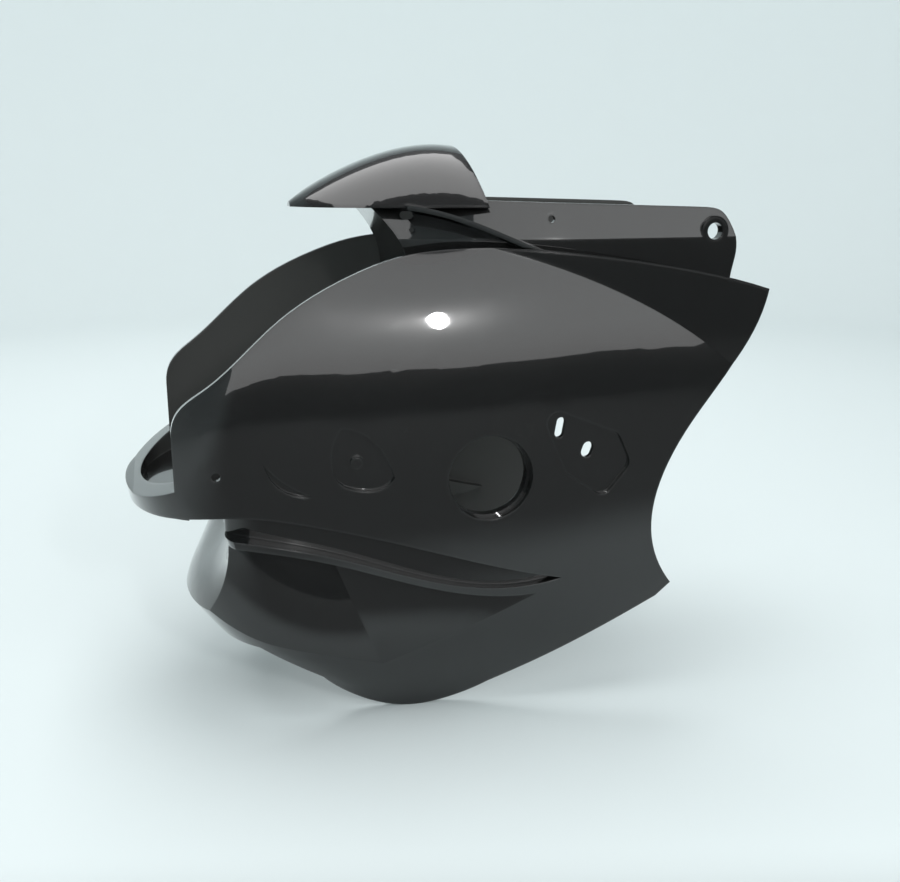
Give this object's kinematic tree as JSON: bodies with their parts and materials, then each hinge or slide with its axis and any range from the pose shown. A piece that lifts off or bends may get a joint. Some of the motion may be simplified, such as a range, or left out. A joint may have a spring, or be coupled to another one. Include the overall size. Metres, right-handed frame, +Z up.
{
  "type": "motorbike headlight cowl",
  "caption": "One-piece glossy black moulded headlight cowl for a motorbike, with chin lip, jaw scoops, indicator holes, visor and coaming arms with bolt eyes.",
  "frame": {"origin": "middle of the axis through the two indicator holes, on the cowl's plane of symmetry", "axes": "+X across to the cowl's left side, +Y rearwards along the motorbike, +Z up; the headlight faces -Y"},
  "size_m": [0.2086, 0.3741, 0.343],
  "materials": {
    "gloss_black": "high-gloss moulded black plastic"
  },
  "bodies": {
    "root": {"headlight_cowl": "gloss_black"}
  },
  "joints": []
}
